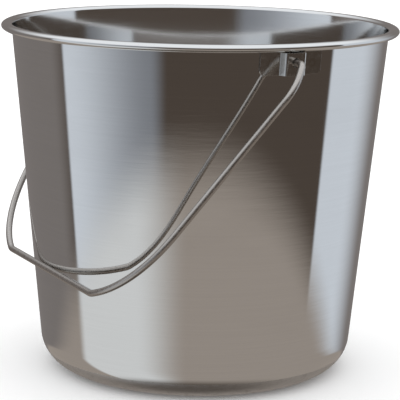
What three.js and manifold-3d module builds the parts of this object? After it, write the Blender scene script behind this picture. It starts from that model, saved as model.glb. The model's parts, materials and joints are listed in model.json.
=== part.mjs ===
/*
 * Milk pail: a seamless drawn stainless shell with a rolled rim, two hat-section ears and a bent wire bail.
 *
 * Millimetres, +Z up. The origin is the centre of the ring that the pail stands on. The ears are at -Y (front)
 * and +Y (rear), and the bail turns about the line through their holes. At rest it hangs down on the -X side
 * with its grip leaning on the wall.
 */
import * as THREE from "three";
import { mergeVertices } from "three/addons/utils/BufferGeometryUtils.js";
import Module from "manifold-3d";

const { degToRad } = THREE.MathUtils;

// Shell
const RIM_RADIUS = 145;
const HEIGHT = 255;
const SHEET = 0.8;
const TAPER = degToRad(5.5);
const FOOT_RADIUS = 113.2; // the wall's outer face, carried down to the floor
const CORNER_RADIUS = 25.8; // outside of the bottom corner
const RING_INNER_RADIUS = 78; // inner edge of the ring that touches the floor
const BASE_RISE = 2; // how far the middle of the base stands off the floor
const BASE_STEP = 5; // width of the slope up to the raised middle
const BEAD_HEIGHT = 5.4;
const CURL_END = degToRad(-126); // where the rolled edge stops, short of the wall
const SHELL_SEGMENTS = 64;

// Ears
const EAR_SHEET = 1.2;
const EAR_WIDTH = 46.4;
const EAR_HEIGHT = 15.5;
const EAR_DROP = 6; // from the top of the rim to the top of the ear
const EAR_STANDOFF = 7; // front face, measured out from the wall
const EAR_FACE_WIDTH = 12.6;
const EAR_CHANNEL_WIDTH = 17;
const EAR_BEND = 1.4; // centreline radius of the four bends
const EAR_TIP_RADIUS = 3.5;
const EAR_HOLE_RADIUS = 3.1;
const PIVOT_DROP = 12.6; // from the top of the rim down to the pivot line
const FIT_GAP = 0.3;

// Bail
const WIRE_RADIUS = 2.4;
const WIRE_TIP_Y = 138.6; // end of the wire inside the ear's channel
const EYE_Y = 155.2; // how far out the turn into the ear would reach, from the middle plane
const EYE_BEND = 7; // centreline radius of that turn
const ARM_FLARE = degToRad(32); // the wire leaves the ear outwards at this angle
const NECK_DROP = 8; // where it begins to turn back inwards, below the pivot line
const NECK_BEND = 30;
const ARM_LEAN = degToRad(14.6);
const SHOULDER_BEND = 87;
const CORNER_BEND = 13.4;
const CORNER_START = degToRad(70.5); // how far the shoulder has turned when the tight corner begins
const GRIP_DROP = 201.4; // from the pivot line to the grip
const GRIP_OFFSET = 14.2; // the grip's middle sits this far towards the front ear
const WIRE_SIDES = 10;

const wallSlope = Math.tan(TAPER);
const pivotZ = HEIGHT - PIVOT_DROP;
const neckCentreDrop = NECK_DROP + NECK_BEND * Math.sin(ARM_FLARE);
const neckEndDrop = neckCentreDrop + NECK_BEND * Math.sin(ARM_LEAN);

/** Outer radius of the tapered wall at a height. */
function wallRadius(z) {
  return FOOT_RADIUS + wallSlope * z;
}

/** Points on an ellipse from one angle to another, both ends included. */
function arcPoints(centreX, centreY, radiusX, radiusY, from, to, steps) {
  const points = [];
  for (let i = 0; i <= steps; i += 1) {
    const angle = from + ((to - from) * i) / steps;
    points.push(new THREE.Vector2(centreX + radiusX * Math.cos(angle), centreY + radiusY * Math.sin(angle)));
  }
  return points;
}

/** Unit normal of a polyline at one of its points, to the right of the way it runs. */
function normalAt(points, i) {
  const before = points[Math.max(i - 1, 0)];
  const after = points[Math.min(i + 1, points.length - 1)];
  const into = points[i].clone().sub(before).normalize();
  const out = after.clone().sub(points[i]).normalize();
  const run = into.add(out).normalize();
  return new THREE.Vector2(run.y, -run.x);
}

/** Closed outline of sheet metal of one thickness, bent along an open centreline. */
function sheetOutline(centreline, thickness) {
  const right = centreline.map((p, i) => p.clone().addScaledVector(normalAt(centreline, i), thickness / 2));
  const left = centreline.map((p, i) => p.clone().addScaledVector(normalAt(centreline, i), -thickness / 2));
  return [...right, ...left.reverse()];
}

/** Centreline of the shell's section, from the axis out along the base, up the wall and round the rim. */
function shellCentreline() {
  const half = SHEET / 2;
  const wallMiddle = (z) => wallRadius(z) - half / Math.cos(TAPER);
  const bend = CORNER_RADIUS - half;
  const cornerX = wallMiddle(CORNER_RADIUS) - bend / Math.cos(TAPER);
  const beadZ = HEIGHT - BEAD_HEIGHT / 2;
  const beadWidth = RIM_RADIUS - half - wallMiddle(beadZ);
  const beadX = wallMiddle(beadZ) + beadWidth / 2;
  const beadHalfHeight = BEAD_HEIGHT / 2 - half;
  return [
    new THREE.Vector2(0, BASE_RISE + half),
    new THREE.Vector2(RING_INNER_RADIUS - BASE_STEP, BASE_RISE + half),
    new THREE.Vector2(RING_INNER_RADIUS, half),
    ...arcPoints(cornerX, CORNER_RADIUS, bend, bend, -Math.PI / 2, -TAPER, 7),
    ...arcPoints(beadX, beadZ, beadWidth / 2, beadHalfHeight, Math.PI, CURL_END, 17),
  ];
}

/** Turns a closed section, given as radius and height, about the Z axis. */
function revolve(section, segments) {
  const geometry = new THREE.LatheGeometry(section, segments);
  geometry.rotateX(Math.PI / 2);
  return geometry;
}

function shellGeometry() {
  const outline = sheetOutline(shellCentreline(), SHEET);
  const section = outline.map((p) => new THREE.Vector2(Math.max(p.x, 0), p.y));
  return revolve(section, SHELL_SEGMENTS);
}

/** Centreline of the ear seen from above, the wall's curve on both sides of the raised channel. */
function earCentreline() {
  const z = HEIGHT - EAR_DROP - EAR_HEIGHT;
  const flangeRadius = wallRadius(z) + FIT_GAP + EAR_SHEET / 2;
  const faceY = wallRadius(pivotZ) + EAR_STANDOFF - EAR_SHEET / 2 - wallSlope * (pivotZ - z);
  const halfAngle = Math.asin(EAR_WIDTH / 2 / flangeRadius);
  const footAngle = Math.asin((EAR_CHANNEL_WIDTH / 2 + EAR_BEND) / flangeRadius);
  const rightFlange = arcPoints(0, 0, flangeRadius, flangeRadius, Math.PI / 2 - halfAngle, Math.PI / 2 - footAngle, 4);
  const footY = flangeRadius * Math.cos(footAngle);
  const rightSide = [
    new THREE.Vector2(EAR_CHANNEL_WIDTH / 2 + EAR_BEND * 0.3, footY + EAR_BEND * 0.35),
    new THREE.Vector2(EAR_CHANNEL_WIDTH / 2 - EAR_BEND * 0.2, footY + EAR_BEND * 1.2),
    new THREE.Vector2(EAR_FACE_WIDTH / 2 + EAR_BEND * 0.1, faceY - EAR_BEND),
    new THREE.Vector2(EAR_FACE_WIDTH / 2 - EAR_BEND * 0.3, faceY - EAR_BEND * 0.3),
    new THREE.Vector2(EAR_FACE_WIDTH / 2 - EAR_BEND, faceY),
  ];
  const right = [...rightFlange, ...rightSide];
  const left = right.map((p) => new THREE.Vector2(-p.x, p.y)).reverse();
  return [...right, ...left];
}

/** Outline of the ear seen from outside: lower corners rounded, one hole for the bail. */
function earFront() {
  const side = EAR_WIDTH / 2 + EAR_SHEET;
  const bottom = HEIGHT - EAR_DROP - EAR_HEIGHT;
  const top = bottom + EAR_HEIGHT;
  const r = EAR_TIP_RADIUS;
  const outline = [
    new THREE.Vector2(-side, top),
    ...arcPoints(-EAR_WIDTH / 2 + r, bottom + r, r, r, Math.PI, Math.PI * 1.5, 5),
    ...arcPoints(EAR_WIDTH / 2 - r, bottom + r, r, r, -Math.PI / 2, 0, 5),
    new THREE.Vector2(side, top),
  ];
  const shape = new THREE.Shape(outline);
  shape.holes.push(new THREE.Path(arcPoints(0, pivotZ, EAR_HOLE_RADIUS, EAR_HOLE_RADIUS, 0, Math.PI * 2, 20)));
  return shape;
}

const wasm = await Module();
wasm.setup();

/** The closed solid of a three.js geometry. */
function solidOf(geometry) {
  const bare = geometry.clone();
  bare.deleteAttribute("normal");
  bare.deleteAttribute("uv");
  const merged = mergeVertices(bare, 1e-4);
  const mesh = new wasm.Mesh({
    numProp: 3,
    vertProperties: new Float32Array(merged.attributes.position.array),
    triVerts: new Uint32Array(merged.index.array),
  });
  return new wasm.Manifold(mesh);
}

/** The three.js geometry of a solid. */
function geometryOf(solid) {
  const mesh = solid.getMesh();
  const geometry = new THREE.BufferGeometry();
  geometry.setAttribute("position", new THREE.BufferAttribute(mesh.vertProperties, 3));
  geometry.setIndex(new THREE.BufferAttribute(mesh.triVerts, 1));
  geometry.computeVertexNormals();
  return geometry;
}

/** The ear on the +Y side: the hat section runs up the taper, and the front outline trims and pierces it. */
function earGeometry() {
  const plan = new THREE.Shape(sheetOutline(earCentreline(), EAR_SHEET));
  const bar = new THREE.ExtrudeGeometry(plan, { depth: EAR_HEIGHT, bevelEnabled: false });
  bar.applyMatrix4(new THREE.Matrix4().makeShear(0, 0, 0, 0, 0, wallSlope));
  bar.translate(0, 0, HEIGHT - EAR_DROP - EAR_HEIGHT);
  const trim = new THREE.ExtrudeGeometry(earFront(), { depth: RIM_RADIUS, bevelEnabled: false });
  trim.rotateX(Math.PI / 2);
  trim.translate(0, RIM_RADIUS + EAR_STANDOFF, 0);
  return geometryOf(solidOf(bar).intersect(solidOf(trim)));
}

/** A curve through given stations, which an extrusion steps through one by one. */
class StationCurve extends THREE.Curve {
  constructor(stations) {
    super();
    this.stations = stations;
  }

  getPoint(t, target = new THREE.Vector3()) {
    const place = t * (this.stations.length - 1);
    const i = Math.min(Math.floor(place), this.stations.length - 2);
    return target.lerpVectors(this.stations[i], this.stations[i + 1], place - i);
  }

  getUtoTmapping(u) {
    return u;
  }
}

/**
 * Half of the bail's centreline in its own plane, from the wire's end in the ear to the middle of the grip:
 * x is the distance from the middle plane, y the distance from the pivot line.
 */
function halfBail() {
  const eye = arcPoints(EYE_Y - EYE_BEND, EYE_BEND, EYE_BEND, EYE_BEND, -Math.PI / 2, -ARM_FLARE, 5);
  const eyeEnd = eye[eye.length - 1];
  const neckStartX = eyeEnd.x + (NECK_DROP - eyeEnd.y) * Math.tan(ARM_FLARE);
  const neckX = neckStartX - NECK_BEND * Math.cos(ARM_FLARE);
  const neckEndX = neckX + NECK_BEND * Math.cos(ARM_LEAN);
  const cornerY = GRIP_DROP - CORNER_BEND;
  const shoulderY = cornerY + (CORNER_BEND - SHOULDER_BEND) * Math.sin(CORNER_START);
  const armEndY = shoulderY + SHOULDER_BEND * Math.sin(ARM_LEAN);
  const armEndX = neckEndX - (armEndY - neckEndDrop) * Math.tan(ARM_LEAN);
  const shoulderX = armEndX - SHOULDER_BEND * Math.cos(ARM_LEAN);
  const cornerX = shoulderX + (SHOULDER_BEND - CORNER_BEND) * Math.cos(CORNER_START);
  return [
    new THREE.Vector2(WIRE_TIP_Y, 0),
    ...eye,
    ...arcPoints(neckX, neckCentreDrop, NECK_BEND, NECK_BEND, -ARM_FLARE, ARM_LEAN, 6),
    ...arcPoints(shoulderX, shoulderY, SHOULDER_BEND, SHOULDER_BEND, ARM_LEAN, CORNER_START, 9),
    ...arcPoints(cornerX, cornerY, CORNER_BEND, CORNER_BEND, CORNER_START, Math.PI / 2, 3).slice(1),
  ];
}

/** How far the bail leans out from straight down when its grip rests on the wall. */
function restLean() {
  const reach = (WIRE_RADIUS + FIT_GAP) / Math.cos(TAPER);
  let lean = degToRad(30);
  for (let i = 0; i < 20; i += 1) {
    const gripZ = pivotZ - GRIP_DROP * Math.cos(lean);
    lean = Math.asin((wallRadius(gripZ) + reach) / GRIP_DROP);
  }
  return lean;
}

/** The wire, hanging straight down: below its necks it is sheared towards the front ear. */
function bailGeometry() {
  const half = halfBail();
  const outline = [...half, ...half.map((p) => new THREE.Vector2(-p.x, p.y)).reverse()];
  const stations = outline.map((p) => {
    const shift = (GRIP_OFFSET * Math.max(p.y - neckEndDrop, 0)) / (GRIP_DROP - neckEndDrop);
    return new THREE.Vector3(0, p.x - shift, -p.y);
  });
  const section = new THREE.Shape(arcPoints(0, 0, WIRE_RADIUS, WIRE_RADIUS, 0, Math.PI * 2, WIRE_SIDES).slice(1));
  return new THREE.ExtrudeGeometry(section, {
    steps: stations.length - 1,
    extrudePath: new StationCurve(stations),
    bevelEnabled: false,
  });
}

function steel(colour, roughness) {
  return new THREE.MeshStandardMaterial({ color: colour, roughness, metalness: 1 });
}

function part(name, geometry, material) {
  const mesh = new THREE.Mesh(geometry, material);
  mesh.name = name;
  return mesh;
}

const pail = new THREE.Group();
pail.name = "milk_pail";
pail.add(part("pail_shell", shellGeometry(), steel(0xb8b5b0, 0.18)));

const ears = [
  { name: "bail_ear_front", turn: Math.PI },
  { name: "bail_ear_rear", turn: 0 },
];
for (const { name, turn } of ears) {
  const ear = part(name, earGeometry(), steel(0xa9a6a1, 0.25));
  ear.rotation.z = turn;
  pail.add(ear);
}

const bail = part("wire_bail", bailGeometry(), steel(0xaaa69f, 0.2));
bail.position.z = pivotZ;
bail.rotation.y = restLean();
pail.add(bail);

export default pail;
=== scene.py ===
"""The looks of a stainless milk pail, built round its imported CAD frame.

Metres, +Z up. The pail stands on the origin, its ears are at -Y (front) and +Y (rear), and the wire bail
hangs on the -X side. The shell, the two ears and the bail are rebuilt as fine meshes in the CAD's own places.
"""
import json
import math

import bmesh
import bpy
from mathutils import Matrix, Vector


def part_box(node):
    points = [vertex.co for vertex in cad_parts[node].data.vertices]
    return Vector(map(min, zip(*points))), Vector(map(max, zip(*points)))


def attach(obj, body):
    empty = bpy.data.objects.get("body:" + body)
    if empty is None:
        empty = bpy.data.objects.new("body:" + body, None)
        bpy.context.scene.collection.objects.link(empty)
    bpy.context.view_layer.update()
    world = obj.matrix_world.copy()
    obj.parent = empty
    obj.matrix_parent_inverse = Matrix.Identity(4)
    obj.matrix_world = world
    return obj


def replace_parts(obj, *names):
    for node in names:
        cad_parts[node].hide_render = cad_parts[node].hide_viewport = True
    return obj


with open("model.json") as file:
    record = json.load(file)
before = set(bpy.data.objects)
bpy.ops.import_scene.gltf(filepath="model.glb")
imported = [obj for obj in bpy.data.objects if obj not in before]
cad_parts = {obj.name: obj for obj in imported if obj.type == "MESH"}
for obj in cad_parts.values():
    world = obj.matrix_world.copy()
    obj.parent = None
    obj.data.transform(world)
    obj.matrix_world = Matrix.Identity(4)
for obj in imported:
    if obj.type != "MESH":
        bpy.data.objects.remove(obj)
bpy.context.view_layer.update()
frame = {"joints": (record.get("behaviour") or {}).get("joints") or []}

MM = 0.001

# Sizes read from the frame
SHELL_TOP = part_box("pail_shell")[1]
HEIGHT = SHELL_TOP.z
RIM_RADIUS = SHELL_TOP.x
PIVOT_Z = frame["joints"][0]["pos_m"][2]

# Shell
SHEET = 0.8 * MM
TAPER = math.radians(5.5)
FOOT_RADIUS = 113.2 * MM  # the wall's outer face, carried down to the floor
CORNER_RADIUS = 25.8 * MM
RING_INNER_RADIUS = 78 * MM
BASE_RISE = 2 * MM
BASE_STEP = 5 * MM
BEAD_HEIGHT = 5.4 * MM
CURL_END = math.radians(-142)
POLISH_LINE = math.radians(-28)  # down the bottom corner: polished above, satin below
OUTSIDE, CORNER, INSIDE = range(3)  # the shell's material slots
LEVEL_FACE = 0.9  # a face whose normal points up by this much or more belongs to the base
SHELL_SEGMENTS = 256
WAVE_DEPTH = 0.05 * MM  # how far a drawn wall strays from a true cone
RIPPLE_HEIGHT = 0.006 * MM  # of the fine ripples that polishing leaves round the wall
OUTSIDE_HAZE = 0.03  # the polished steel's least roughness
INSIDE_HAZE = 0.075

# Ears
EAR_SHEET = 1.2 * MM
EAR_WIDTH = 46.4 * MM
EAR_HEIGHT = 15.5 * MM
EAR_DROP = 6 * MM
EAR_STANDOFF = 7 * MM
EAR_FACE_WIDTH = 14.6 * MM
EAR_CHANNEL_WIDTH = 17 * MM
EAR_BEND = 1.4 * MM
EAR_TIP_RADIUS = 3.5 * MM
EAR_HOLE_RADIUS = 3.1 * MM
EAR_EDGE = 0.2 * MM  # rounding of the strip's cut edges
FIT_GAP = 0.3 * MM

# Bail
WIRE_RADIUS = 2.4 * MM
WIRE_TIP_Y = 138.6 * MM
WIRE_SIDES = 32
EYE_Y = 155.2 * MM
EYE_BEND = 7 * MM
ARM_FLARE = math.radians(32)
NECK_DROP = 8 * MM
NECK_BEND = 30 * MM
ARM_LEAN = math.radians(14.6)
SHOULDER_BEND = 87 * MM
CORNER_BEND = 13.4 * MM
CORNER_START = math.radians(70.5)
GRIP_DROP = 201.4 * MM
GRIP_OFFSET = 14.2 * MM
NECK_CENTRE_DROP = NECK_DROP + NECK_BEND * math.sin(ARM_FLARE)
NECK_END_DROP = NECK_CENTRE_DROP + NECK_BEND * math.sin(ARM_LEAN)

# Stage
FLOOR_REACH = 8  # from the pail to the floor's edges

# Camera, measured from the middle of the pail's foot
CAMERA_AZIMUTH = math.radians(-26.6)
CAMERA_DISTANCE = 1.375
CAMERA_HEIGHT = 0.395
CAMERA_PITCH = math.radians(11.2)
CAMERA_ROLL = math.radians(1.05)
CAMERA_LENS = 169.5
CAMERA_SHIFT = (0.0068, 0.0003)

WALL_SLOPE = math.tan(TAPER)


# ---------------------------------------------------------------------------------------------------------
# Outlines
# ---------------------------------------------------------------------------------------------------------
def wall_radius(z):
    """Outer radius of the tapered wall at a height."""
    return FOOT_RADIUS + WALL_SLOPE * z


def arc(centre, radii, start, end, steps):
    """Points on an ellipse from one angle to another, both ends included."""
    angles = [start + (end - start) * i / steps for i in range(steps + 1)]
    return [Vector((centre[0] + radii[0] * math.cos(a), centre[1] + radii[1] * math.sin(a))) for a in angles]


def line(start, end, steps):
    """Points between two ends, which are left out."""
    return [start.lerp(end, i / steps) for i in range(1, steps)]


def normals(points):
    """Unit normals of a polyline, to the right of the way it runs."""
    result = []
    for i, point in enumerate(points):
        run = Vector((0, 0))
        if i > 0:
            run += (point - points[i - 1]).normalized()
        if i < len(points) - 1:
            run += (points[i + 1] - point).normalized()
        run.normalize()
        result.append(Vector((run.y, -run.x)))
    return result


def sheet_outline(centreline, thickness, round_end=False):
    """Closed outline of sheet metal bent along a centreline."""
    half = thickness / 2
    sides = normals(centreline)
    right = [p + n * half for p, n in zip(centreline, sides)]
    left = [p - n * half for p, n in zip(centreline, sides)]
    end_cap = edge_cap(centreline[-1], sides[-1], half) if round_end else []
    return right + end_cap + left[::-1]


def edge_cap(point, side, half, steps=6):
    """The half round edge of a sheet, from its right side over to its left."""
    forward = Vector((-side.y, side.x))
    angles = [math.pi * i / steps for i in range(1, steps)]
    return [point + side * half * math.cos(a) + forward * half * math.sin(a) for a in angles]


# ---------------------------------------------------------------------------------------------------------
# Mesh makers
# ---------------------------------------------------------------------------------------------------------
def new_object(name, mesh):
    obj = bpy.data.objects.new(name, mesh)
    bpy.context.scene.collection.objects.link(obj)
    return obj


def mesh_object(name, verts, faces):
    mesh = bpy.data.meshes.new(name)
    mesh.from_pydata(verts, [], faces)
    mesh.update()
    mesh.shade_smooth()
    return new_object(name, mesh)


def revolve(name, section, segments):
    """Turns a section of (radius, height) points, whose two ends are on the Z axis, into a closed solid."""
    inner = section[1:-1]
    verts = [(0, 0, section[0].y), (0, 0, section[-1].y)]
    for k in range(segments):
        turn = 2 * math.pi * k / segments
        verts += [(p.x * math.cos(turn), p.x * math.sin(turn), p.y) for p in inner]
    faces = []
    count = len(inner)
    for k in range(segments):
        here = 2 + k * count
        there = 2 + ((k + 1) % segments) * count
        faces.append((0, there, here))
        faces += [(here + i, there + i, there + i + 1, here + i + 1) for i in range(count - 1)]
        faces.append((1, here + count - 1, there + count - 1))
    return mesh_object(name, verts, faces)


def extrude(name, outline, depth, holes=()):
    """A closed plate of an outline in the XY plane, from z = 0 up to its depth."""
    mesh = bpy.data.meshes.new(name)
    work = bmesh.new()
    rim = [work.verts.new((p.x, p.y, 0)) for p in outline]
    work.faces.new(rim)
    grown = bmesh.ops.extrude_face_region(work, geom=work.faces[:])
    top = [v for v in grown["geom"] if isinstance(v, bmesh.types.BMVert)]
    bmesh.ops.translate(work, verts=top, vec=(0, 0, depth))
    bmesh.ops.recalc_face_normals(work, faces=work.faces[:])
    work.to_mesh(mesh)
    work.free()
    obj = new_object(name, mesh)
    for hole in holes:
        cutter = extrude(name + "_hole", hole, depth * 3)
        cutter.data.transform(Matrix.Translation((0, 0, -depth)))
        boolean(obj, cutter, "DIFFERENCE")
    return obj


def boolean(obj, cutter, operation):
    """Cuts or trims obj with another solid, which is then removed."""
    modifier = obj.modifiers.new("boolean", "BOOLEAN")
    modifier.operation = operation
    modifier.solver = "EXACT"
    modifier.object = cutter
    apply_modifiers(obj)
    bpy.data.objects.remove(cutter)


def apply_modifiers(obj):
    evaluated = obj.evaluated_get(bpy.context.evaluated_depsgraph_get())
    baked = bpy.data.meshes.new_from_object(evaluated)
    obj.modifiers.clear()
    obj.data = baked


def sweep(name, stations, radius, sides):
    """A round wire along points in the YZ plane, with rounded ends."""
    path = [Vector((0, p.x, p.y)) for p in stations]
    sideways = [Vector((0, n.x, n.y)) for n in normals(stations)]
    rings = [(p, n, radius) for p, n in zip(path, sideways)]
    edge = radius * 0.35
    start_run = (path[0] - path[1]).normalized()
    end_run = (path[-1] - path[-2]).normalized()
    bevel = [math.radians(a) for a in (30, 60, 90)]
    caps = [(edge * math.sin(a), radius - edge * (1 - math.cos(a))) for a in bevel]
    start = [(path[0] + start_run * (d - edge), sideways[0], r) for d, r in reversed(caps)]
    end = [(path[-1] + end_run * (d - edge), sideways[-1], r) for d, r in caps]
    rings[0] = (path[0] - start_run * edge, sideways[0], radius)
    rings[-1] = (path[-1] - end_run * edge, sideways[-1], radius)
    rings = start + rings + end
    verts = []
    for centre, side, r in rings:
        for k in range(sides):
            turn = 2 * math.pi * k / sides
            verts.append(centre + side * r * math.cos(turn) + Vector((r * math.sin(turn), 0, 0)))
    faces = [tuple(range(sides))[::-1], tuple(len(verts) - sides + k for k in range(sides))]
    for i in range(len(rings) - 1):
        for k in range(sides):
            a = i * sides + k
            b = i * sides + (k + 1) % sides
            faces.append((a, b, b + sides, a + sides))
    obj = mesh_object(name, verts, faces)
    face_outwards(obj)
    return obj


def face_outwards(obj):
    work = bmesh.new()
    work.from_mesh(obj.data)
    bmesh.ops.recalc_face_normals(work, faces=work.faces[:])
    work.to_mesh(obj.data)
    work.free()


# ---------------------------------------------------------------------------------------------------------
# Pieces
# ---------------------------------------------------------------------------------------------------------
def shell_centreline():
    """The shell's section from the axis out along the base, up the wall and round the rolled rim."""
    half = SHEET / 2
    bend = CORNER_RADIUS - half

    def wall_middle(z):
        return wall_radius(z) - half / math.cos(TAPER)

    corner_x = wall_middle(CORNER_RADIUS) - bend / math.cos(TAPER)
    bead_z = HEIGHT - BEAD_HEIGHT / 2
    bead_width = RIM_RADIUS - half - wall_middle(bead_z)
    bead_x = wall_middle(bead_z) + bead_width / 2
    step_out = Vector((RING_INNER_RADIUS, half))
    step_in = Vector((RING_INNER_RADIUS - BASE_STEP, BASE_RISE + half))
    middle = Vector((0, BASE_RISE + half))
    corner = (corner_x, CORNER_RADIUS)
    satin = arc(corner, (bend, bend), -math.pi / 2, POLISH_LINE, 14)
    polished = arc(corner, (bend, bend), POLISH_LINE, -TAPER, 8)[1:]
    bead = arc((bead_x, bead_z), (bead_width / 2, BEAD_HEIGHT / 2 - half), math.pi, CURL_END, 46)
    base = [middle] + line(middle, step_in, 6) + [step_in] + line(step_in, step_out, 4) + [step_out]
    base += line(step_out, satin[0], 3)
    return base + satin + polished + line(polished[-1], bead[0], 40) + bead


def wall_wave(turn, height):
    """How a drawn wall strays from a true cone, from -1 to 1: nothing at the base and at the rim."""
    fade = math.sin(math.pi * min(max(height / HEIGHT, 0), 1)) ** 0.5
    wave = 0.45 * math.sin(3 * turn + 0.7) + 0.3 * math.sin(7 * turn + 9 * height + 1.9)
    wave += 0.15 * math.sin(13 * turn - 31 * height + 0.4) + 0.1 * math.sin(5 * turn + 55 * height)
    return fade * wave


def ripple_wall(obj):
    for vertex in obj.data.vertices:
        x, y, z = vertex.co
        radius = math.hypot(x, y)
        if radius > RING_INNER_RADIUS:
            grow = 1 + WAVE_DEPTH * wall_wave(math.atan2(y, x), z) / radius
            vertex.co = (x * grow, y * grow, z)


def make_shell():
    outline = sheet_outline(shell_centreline(), SHEET, round_end=True)
    outline[0].x = 0
    outline[-1].x = 0
    shell = revolve("pail_shell_fine", outline, SHELL_SEGMENTS)
    ripple_wall(shell)
    face_outwards(shell)
    shell.data.materials.append(polished_steel("polished_outside", OUTSIDE_HAZE))
    shell.data.materials.append(satin_steel())
    shell.data.materials.append(polished_steel("polished_inside", INSIDE_HAZE))
    polish_z = CORNER_RADIUS + CORNER_RADIUS * math.sin(POLISH_LINE) + 0.01 * MM
    for face in shell.data.polygons:
        if face.normal.z < 0 and face.center.z < polish_z:
            face.material_index = CORNER
        elif face.center.z < HEIGHT - BEAD_HEIGHT and face_is_inside(face):
            face.material_index = INSIDE
    return shell


def face_is_inside(face):
    """Whether a face of the shell looks into the pail."""
    inwards = face.normal.x * face.center.x + face.normal.y * face.center.y < 0
    return inwards or face.normal.z > LEVEL_FACE


def ear_centreline():
    """The ear seen from above: the wall's curve on both sides of the raised channel."""
    bottom = HEIGHT - EAR_DROP - EAR_HEIGHT
    flange_radius = wall_radius(bottom) + FIT_GAP + EAR_SHEET / 2
    face_y = wall_radius(PIVOT_Z) + EAR_STANDOFF - EAR_SHEET / 2 - WALL_SLOPE * (PIVOT_Z - bottom)
    tip_angle = math.asin(EAR_WIDTH / 2 / flange_radius)
    foot_angle = math.asin((EAR_CHANNEL_WIDTH / 2 + EAR_BEND) / flange_radius)
    foot_y = flange_radius * math.cos(foot_angle)
    up = math.pi / 2
    flange = arc((0, 0), (flange_radius, flange_radius), up - tip_angle, up - foot_angle, 10)
    rise = math.atan2(face_y - foot_y, (EAR_CHANNEL_WIDTH - EAR_FACE_WIDTH) / 2)
    foot_x = EAR_CHANNEL_WIDTH / 2 + EAR_BEND
    foot = arc((foot_x, foot_y + EAR_BEND), (EAR_BEND, EAR_BEND), -up, -up - rise, 8)
    shoulder_x = EAR_FACE_WIDTH / 2 - EAR_BEND
    shoulder = arc((shoulder_x, face_y - EAR_BEND), (EAR_BEND, EAR_BEND), up - rise, up, 8)
    right = flange + foot[1:] + shoulder
    left = [Vector((-p.x, p.y)) for p in reversed(right)]
    return right + left


def ear_front():
    """The ear seen from outside, as (across, up) points: its trimmed outline and its hole."""
    side = EAR_WIDTH / 2 + EAR_SHEET
    bottom = HEIGHT - EAR_DROP - EAR_HEIGHT
    top = bottom + EAR_HEIGHT
    r = EAR_TIP_RADIUS
    outline = [Vector((-side, top))]
    outline += arc((-EAR_WIDTH / 2 + r, bottom + r), (r, r), math.pi, math.pi * 1.5, 12)
    outline += arc((EAR_WIDTH / 2 - r, bottom + r), (r, r), -math.pi / 2, 0, 12)
    outline += [Vector((side, top))]
    hole = arc((0, PIVOT_Z), (EAR_HOLE_RADIUS, EAR_HOLE_RADIUS), 0, 2 * math.pi, 40)[:-1]
    return outline, hole


def make_ear(name, turn):
    """A pressed hat-section ear, made at +Y and then turned about the pail's axis."""
    ear = extrude(name, sheet_outline(ear_centreline(), EAR_SHEET), EAR_HEIGHT)
    lean_out = Matrix.Identity(4)
    lean_out[1][2] = WALL_SLOPE
    ear.data.transform(lean_out)
    ear.data.transform(Matrix.Translation((0, 0, HEIGHT - EAR_DROP - EAR_HEIGHT)))
    outline, hole = ear_front()
    trim = extrude(name + "_trim", outline, RIM_RADIUS, holes=[hole])
    trim.data.transform(Matrix.Rotation(math.pi / 2, 4, "X"))
    trim.data.transform(Matrix.Translation((0, RIM_RADIUS + EAR_STANDOFF, 0)))
    boolean(ear, trim, "INTERSECT")
    bevel = ear.modifiers.new("edges", "BEVEL")
    bevel.width = EAR_EDGE
    bevel.segments = 3
    bevel.limit_method = "ANGLE"
    bevel.angle_limit = math.radians(50)
    ear.data.shade_smooth()
    ear.modifiers.new("flat_faces", "WEIGHTED_NORMAL")
    apply_modifiers(ear)
    ear.data.transform(Matrix.Rotation(turn, 4, "Z"))
    ear.data.materials.clear()
    ear.data.materials.append(pressed_steel())
    return ear


def half_bail():
    """Half of the wire's centreline: x from the middle plane, y down from the pivot line."""
    eye = arc((EYE_Y - EYE_BEND, EYE_BEND), (EYE_BEND, EYE_BEND), -math.pi / 2, -ARM_FLARE, 14)
    neck_start_x = eye[-1].x + (NECK_DROP - eye[-1].y) * math.tan(ARM_FLARE)
    neck_x = neck_start_x - NECK_BEND * math.cos(ARM_FLARE)
    corner_y = GRIP_DROP - CORNER_BEND
    shoulder_y = corner_y + (CORNER_BEND - SHOULDER_BEND) * math.sin(CORNER_START)
    arm_end_y = shoulder_y + SHOULDER_BEND * math.sin(ARM_LEAN)
    neck = arc((neck_x, NECK_CENTRE_DROP), (NECK_BEND, NECK_BEND), -ARM_FLARE, ARM_LEAN, 18)
    arm_end_x = neck[-1].x - (arm_end_y - NECK_END_DROP) * math.tan(ARM_LEAN)
    shoulder_x = arm_end_x - SHOULDER_BEND * math.cos(ARM_LEAN)
    corner_x = shoulder_x + (SHOULDER_BEND - CORNER_BEND) * math.cos(CORNER_START)
    shoulder = arc((shoulder_x, shoulder_y), (SHOULDER_BEND, SHOULDER_BEND), ARM_LEAN, CORNER_START, 36)
    corner = arc((corner_x, corner_y), (CORNER_BEND, CORNER_BEND), CORNER_START, math.pi / 2, 12)[1:]
    tip = Vector((WIRE_TIP_Y, 0))
    grip = line(corner[-1], Vector((0, GRIP_DROP)), 12)
    points = [tip] + line(tip, eye[0], 3) + eye + line(eye[-1], neck[0], 3) + neck
    return points + line(neck[-1], shoulder[0], 20) + shoulder + corner + grip


def rest_lean():
    """How far the bail leans out from straight down when its grip rests on the wall."""
    reach = (WIRE_RADIUS + FIT_GAP) / math.cos(TAPER)
    lean = math.radians(30)
    for _ in range(20):
        grip_z = PIVOT_Z - GRIP_DROP * math.cos(lean)
        lean = math.asin((wall_radius(grip_z) + reach) / GRIP_DROP)
    return lean


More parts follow.
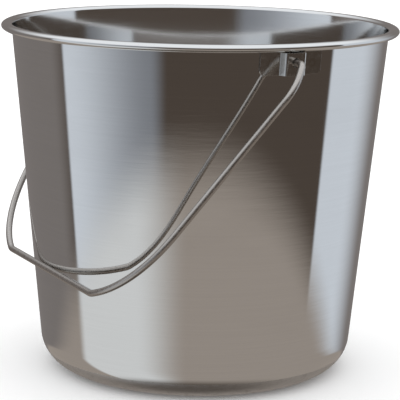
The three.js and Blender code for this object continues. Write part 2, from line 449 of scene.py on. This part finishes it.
def make_bail():
    half = half_bail()
    outline = half + [Vector((0, GRIP_DROP))] + [Vector((-p.x, p.y)) for p in reversed(half)]
    stations = []
    for p in outline:
        shift = GRIP_OFFSET * max(p.y - NECK_END_DROP, 0) / (GRIP_DROP - NECK_END_DROP)
        stations.append(Vector((p.x - shift, -p.y)))
    bail = sweep("wire_bail_fine", stations, WIRE_RADIUS - 0.01 * MM, WIRE_SIDES)
    bail.data.transform(Matrix.Rotation(rest_lean(), 4, "Y"))
    bail.data.transform(Matrix.Translation((0, 0, PIVOT_Z)))
    bail.data.materials.append(drawn_wire())
    return bail


# ---------------------------------------------------------------------------------------------------------
# Node trees
# ---------------------------------------------------------------------------------------------------------
def linear(display):
    """Scene-linear values of a display colour given as 0 to 255."""
    def channel(value):
        v = value / 255
        return v / 12.92 if v <= 0.04045 else ((v + 0.055) / 1.055) ** 2.4
    return tuple(channel(v) for v in display)


def colour(display):
    """A socket's value for a display colour."""
    return (*linear(display), 1)


class Tree:
    """Short calls that add nodes to one node tree."""

    def __init__(self, tree):
        self.tree = tree
        tree.nodes.clear()

    def add(self, kind, **settings):
        node = self.tree.nodes.new(kind)
        for name, value in settings.items():
            setattr(node, name, value)
        return node

    def plug(self, value, socket):
        """Links a socket, or sets a plain value."""
        if isinstance(value, bpy.types.NodeSocket):
            self.tree.links.new(value, socket)
        elif value is not None:
            socket.default_value = value

    def math(self, operation, a, b=None):
        node = self.add("ShaderNodeMath", operation=operation)
        self.plug(a, node.inputs[0])
        self.plug(b, node.inputs[1])
        return node.outputs[0]

    def dot(self, vector, axis):
        node = self.add("ShaderNodeVectorMath", operation="DOT_PRODUCT")
        self.plug(vector, node.inputs[0])
        self.plug(axis, node.inputs[1])
        return node.outputs["Value"]

    def scale(self, vector, factors):
        node = self.add("ShaderNodeVectorMath", operation="MULTIPLY")
        self.plug(vector, node.inputs[0])
        self.plug(factors, node.inputs[1])
        return node.outputs[0]

    def ease(self, value, low, high, to_low=0.0, to_high=1.0):
        """Goes smoothly from one value to another as its input goes from low to high."""
        node = self.add("ShaderNodeMapRange", interpolation_type="SMOOTHSTEP")
        self.plug(value, node.inputs["Value"])
        for name, number in zip(("From Min", "From Max", "To Min", "To Max"), (low, high, to_low, to_high)):
            self.plug(number, node.inputs[name])
        return node.outputs["Result"]

    def band(self, value, low, high, soft_low, soft_high=None):
        """1 between low and high, with smooth edges."""
        soft_high = soft_low if soft_high is None else soft_high
        rise = self.ease(value, low - soft_low, low + soft_low)
        fall = self.ease(value, high - soft_high, high + soft_high, 1.0, 0.0)
        return self.math("MULTIPLY", rise, fall)

    def mix(self, factor, a, b):
        node = self.add("ShaderNodeMix", data_type="RGBA")
        self.plug(factor, node.inputs[0])
        self.plug(a, node.inputs[6])
        self.plug(b, node.inputs[7])
        return node.outputs[2]

    def gain(self, tone, factor):
        """A tone made brighter or darker, which may go over 1."""
        return self.scale(tone, (factor, factor, factor))

    def noise(self, vector, scale, detail=2.0, roughness=0.5):
        node = self.add("ShaderNodeTexNoise")
        self.plug(vector, node.inputs["Vector"])
        self.plug(scale, node.inputs["Scale"])
        self.plug(detail, node.inputs["Detail"])
        self.plug(roughness, node.inputs["Roughness"])
        return node.outputs["Fac"]


# ---------------------------------------------------------------------------------------------------------
# Materials
# ---------------------------------------------------------------------------------------------------------
def steel_tree(name, anisotropy, turned):
    """A metal material, its tree, its shader and its object coordinates."""
    material = bpy.data.materials.new(name)
    material.use_nodes = True
    tree = Tree(material.node_tree)
    shader = tree.add("ShaderNodeBsdfPrincipled")
    output = tree.add("ShaderNodeOutputMaterial")
    tree.plug(shader.outputs[0], output.inputs[0])
    shader.inputs["Metallic"].default_value = 1.0
    shader.inputs["Anisotropic"].default_value = anisotropy
    if turned:
        tangent = tree.add("ShaderNodeTangent", direction_type="RADIAL", axis="Z")
        tree.plug(tangent.outputs[0], shader.inputs["Tangent"])
    place = tree.add("ShaderNodeTexCoord").outputs["Object"]
    return material, tree, shader, place


def polished_steel(name, haze):
    """Bright drawn sheet: polishing lines and faint ripples round the wall, smears and a little haze."""
    material, tree, shader, place = steel_tree(name, 0.3, turned=True)
    lines = tree.noise(tree.scale(place, (12, 12, 900)), 1.0, 3.0, 0.6)
    ripples = tree.noise(tree.scale(place, (20, 20, 210)), 1.0, 3.0, 0.6)
    smears = tree.noise(tree.scale(place, (9, 9, 16)), 1.0, 4.0, 0.62)
    tone = tree.mix(lines, colour((227, 227, 226)), colour((235, 235, 234)))
    tree.plug(tree.mix(tree.ease(smears, 0.5, 0.75, 0.0, 0.25), tone, colour((220, 219, 218))),
              shader.inputs["Base Color"])
    lined = tree.ease(lines, 0.3, 0.75, haze, haze + 0.015)
    rough = tree.math("ADD", lined, tree.ease(smears, 0.45, 0.8, 0.0, 0.03))
    tree.plug(rough, shader.inputs["Roughness"])
    bump = tree.add("ShaderNodeBump")
    bump.inputs["Strength"].default_value = 1.0
    bump.inputs["Distance"].default_value = RIPPLE_HEIGHT
    tree.plug(ripples, bump.inputs["Height"])
    tree.plug(bump.outputs[0], shader.inputs["Normal"])
    return material


def satin_steel():
    """The unpolished bottom corner: even satin with sanding marks round it and scuffs from standing."""
    material, tree, shader, place = steel_tree("satin_stainless", 0.3, turned=True)
    marks = tree.noise(tree.scale(place, (160, 160, 1400)), 1.0, 3.0, 0.65)
    scuffs = tree.noise(place, 240.0, 5.0, 0.7)
    tone = tree.mix(marks, colour((196, 197, 198)), colour((226, 226, 226)))
    worn = tree.mix(tree.ease(scuffs, 0.52, 0.7, 0.0, 0.35), tone, colour((170, 168, 165)))
    tree.plug(worn, shader.inputs["Base Color"])
    tree.plug(tree.ease(scuffs, 0.35, 0.7, 0.3, 0.42), shader.inputs["Roughness"])
    bump = tree.add("ShaderNodeBump")
    bump.inputs["Strength"].default_value = 0.25
    bump.inputs["Distance"].default_value = 0.03 * MM
    tree.plug(marks, bump.inputs["Height"])
    tree.plug(bump.outputs[0], shader.inputs["Normal"])
    return material


def pressed_steel():
    """Bright strip pressed to shape: fine grain along it, uneven gloss and tinted rings at its welds."""
    material = bpy.data.materials.get("pressed_stainless")
    if material:
        return material
    material, tree, shader, place = steel_tree("pressed_stainless", 0.2, turned=True)
    grain = tree.noise(tree.scale(place, (60, 60, 2600)), 1.0, 3.0, 0.6)
    patches = tree.noise(place, 260.0, 3.0, 0.6)
    tone = tree.mix(grain, colour((192, 190, 186)), colour((214, 212, 208)))
    tree.plug(tree.mix(weld_marks(tree, place), tone, colour((176, 164, 146))), shader.inputs["Base Color"])
    tree.plug(tree.ease(patches, 0.35, 0.7, 0.1, 0.17), shader.inputs["Roughness"])
    bump = tree.add("ShaderNodeBump")
    bump.inputs["Strength"].default_value = 0.12
    bump.inputs["Distance"].default_value = 0.02 * MM
    tree.plug(grain, bump.inputs["Height"])
    tree.plug(bump.outputs[0], shader.inputs["Normal"])
    return material


def weld_marks(tree, place):
    """Where the faint rings round the spot welds are, on both flanges of both ears."""
    parts = tree.add("ShaderNodeSeparateXYZ")
    tree.plug(place, parts.inputs[0])
    flange_x = (EAR_WIDTH + EAR_CHANNEL_WIDTH) / 4
    across = tree.math("SUBTRACT", tree.math("ABSOLUTE", parts.outputs["X"]), flange_x)
    up = tree.math("SUBTRACT", parts.outputs["Z"], HEIGHT - EAR_DROP - EAR_HEIGHT / 2)
    squared = tree.math("ADD", tree.math("MULTIPLY", across, across), tree.math("MULTIPLY", up, up))
    distance = tree.math("SQRT", squared)
    return tree.math("MULTIPLY", tree.band(distance, 1.6 * MM, 2.9 * MM, 0.4 * MM, 0.9 * MM), 0.35)


def drawn_wire():
    """Drawn stainless wire: a dull, slightly mottled finish with fine scratches from handling."""
    material, tree, shader, place = steel_tree("drawn_stainless_wire", 0.0, turned=False)
    grain = tree.noise(tree.scale(place, (420, 420, 420)), 1.0, 4.0, 0.65)
    scratches = tree.noise(tree.scale(place, (1500, 140, 1500)), 1.0, 2.0, 0.5)
    tone = tree.mix(grain, colour((176, 171, 166)), colour((196, 191, 186)))
    tree.plug(tree.mix(tree.ease(scratches, 0.6, 0.75, 0.0, 0.2), tone, colour((160, 156, 149))),
              shader.inputs["Base Color"])
    tree.plug(tree.ease(grain, 0.3, 0.7, 0.25, 0.36), shader.inputs["Roughness"])
    bump = tree.add("ShaderNodeBump")
    bump.inputs["Strength"].default_value = 0.04
    bump.inputs["Distance"].default_value = 0.02 * MM
    tree.plug(scratches, bump.inputs["Height"])
    tree.plug(bump.outputs[0], shader.inputs["Normal"])
    return material


# ---------------------------------------------------------------------------------------------------------
# Stage: floor, surroundings, light and camera
# ---------------------------------------------------------------------------------------------------------
def make_floor():
    r = FLOOR_REACH
    floor = mesh_object("floor", [(-r, -r, 0), (r, -r, 0), (r, r, 0), (-r, r, 0)], [(0, 1, 2, 3)])
    material = bpy.data.materials.new("pale_floor")
    material.use_nodes = True
    shader = material.node_tree.nodes["Principled BSDF"]
    shader.inputs["Base Color"].default_value = (0.97, 0.97, 0.97, 1)
    shader.inputs["Roughness"].default_value = 1.0
    shader.inputs["Specular IOR Level"].default_value = 0.0
    floor.data.materials.append(material)
    floor.visible_glossy = False


# The studio that the metal mirrors: plain soft panels round a dark front, over a grey floor. Azimuths are in
# degrees from the side the camera is on, + to its right, and elevations in degrees up from level. A soft edge
# reaches as far to each side as its number says.
DARK_FRONT = (70, 62, 56)
DIM_SIDES = (112, 107, 105)
SOFT_PANEL = (190, 196, 204)
DIM_PANEL = (115, 118, 124)
GREY_FLOOR = (142, 134, 127)
LIT_FLOOR = (195, 197, 198)
FLOOR_SHADOW = (85, 78, 72)
OVERHEAD = (225, 228, 232)
LEFT_PANEL = (-92, -25)
LEFT_PANEL_EDGES = (1.5, 6)
RIGHT_PANEL = (88, 135)
RIGHT_PANEL_EDGES = (1.5, 20)
LIT_FLOOR_EDGES = (4, 20)
FRONT = (-95, 95)
FRONT_EDGE = 10
OVERHEAD_FADE = (12, 45)
SHADOW_FADE = (-75, -50)
FLOOR_LINE = -21  # elevation at which the mirrored floor ends
FLOOR_LINE_EDGE = 1.5
STEEL_GAIN = 1.25  # makes up for the light that one bounce off the steel takes
DIFFUSE_LIGHT = 1.3  # plain white, for every ray that isn't mirrored


def surroundings(tree, direction):
    """The colour that the metal mirrors in a direction."""
    right = (math.cos(CAMERA_AZIMUTH), math.sin(CAMERA_AZIMUTH), 0)
    towards = (math.sin(CAMERA_AZIMUTH), -math.cos(CAMERA_AZIMUTH), 0)
    across = tree.dot(direction, right)
    azimuth = tree.math("DEGREES", tree.math("ARCTAN2", across, tree.dot(direction, towards)))
    elevation = tree.math("DEGREES", tree.math("ARCSINE", tree.dot(direction, (0, 0, 1))))
    room = soft_panels(tree, azimuth)
    room = tree.mix(tree.ease(elevation, *OVERHEAD_FADE), room, colour(OVERHEAD))
    floor = studio_floor(tree, azimuth, elevation)
    above = tree.ease(elevation, FLOOR_LINE - FLOOR_LINE_EDGE, FLOOR_LINE + FLOOR_LINE_EDGE)
    seen = tree.mix(above, floor, room)
    return tree.gain(seen, STEEL_GAIN)


def soft_panels(tree, azimuth):
    """A wide panel on the left that falls off towards the front, and a narrower one on the right."""
    room = tree.mix(tree.band(azimuth, *FRONT, FRONT_EDGE), colour(DIM_SIDES), colour(DARK_FRONT))
    falling = tree.mix(tree.ease(azimuth, *LEFT_PANEL), colour(SOFT_PANEL), colour(DIM_PANEL))
    room = tree.mix(tree.band(azimuth, *LEFT_PANEL, *LEFT_PANEL_EDGES), room, falling)
    return tree.mix(tree.band(azimuth, *RIGHT_PANEL, *RIGHT_PANEL_EDGES), room, colour(SOFT_PANEL))


def studio_floor(tree, azimuth, elevation):
    """A grey floor, lit by the left panel, with the pail's own soft shadow right under it."""
    lit = tree.band(azimuth, *LEFT_PANEL, *LIT_FLOOR_EDGES)
    floor = tree.mix(lit, colour(GREY_FLOOR), colour(LIT_FLOOR))
    return tree.mix(tree.ease(elevation, *SHADOW_FADE, 1.0, 0.0), floor, colour(FLOOR_SHADOW))


def make_world():
    world = bpy.data.worlds.new("studio")
    world.use_nodes = True
    bpy.context.scene.world = world
    tree = Tree(world.node_tree)
    direction = tree.add("ShaderNodeTexCoord").outputs["Generated"]
    path = tree.add("ShaderNodeLightPath")
    white = (DIFFUSE_LIGHT, DIFFUSE_LIGHT, DIFFUSE_LIGHT, 1)
    mirrored = tree.mix(path.outputs["Is Glossy Ray"], white, surroundings(tree, direction))
    background = tree.add("ShaderNodeBackground")
    tree.plug(mirrored, background.inputs["Color"])
    background.inputs["Strength"].default_value = 1.0
    output = tree.add("ShaderNodeOutputWorld")
    tree.plug(background.outputs[0], output.inputs["Surface"])


def make_camera():
    data = bpy.data.cameras.new("camera")
    data.sensor_width = 36
    data.lens = CAMERA_LENS
    data.shift_x, data.shift_y = CAMERA_SHIFT
    camera = new_object("camera", data)
    place = Vector((math.sin(CAMERA_AZIMUTH), -math.cos(CAMERA_AZIMUTH), 0)) * CAMERA_DISTANCE
    place.z = CAMERA_HEIGHT
    aim = Matrix.Rotation(CAMERA_AZIMUTH, 4, "Z") @ Matrix.Rotation(math.pi / 2 - CAMERA_PITCH, 4, "X")
    camera.matrix_world = Matrix.Translation(place) @ aim @ Matrix.Rotation(CAMERA_ROLL, 4, "Z")
    bpy.context.scene.camera = camera


make_camera()
make_world()
make_floor()
bpy.context.scene.view_settings.view_transform = "Standard"

shell = make_shell()
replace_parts(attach(shell, "pail"), "pail_shell")

for side, turn in (("front", math.pi), ("rear", 0.0)):
    ear = make_ear(f"bail_ear_{side}_fine", turn)
    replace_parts(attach(ear, "pail"), f"bail_ear_{side}")

bail = make_bail()
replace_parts(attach(bail, "bail"), "wire_bail")
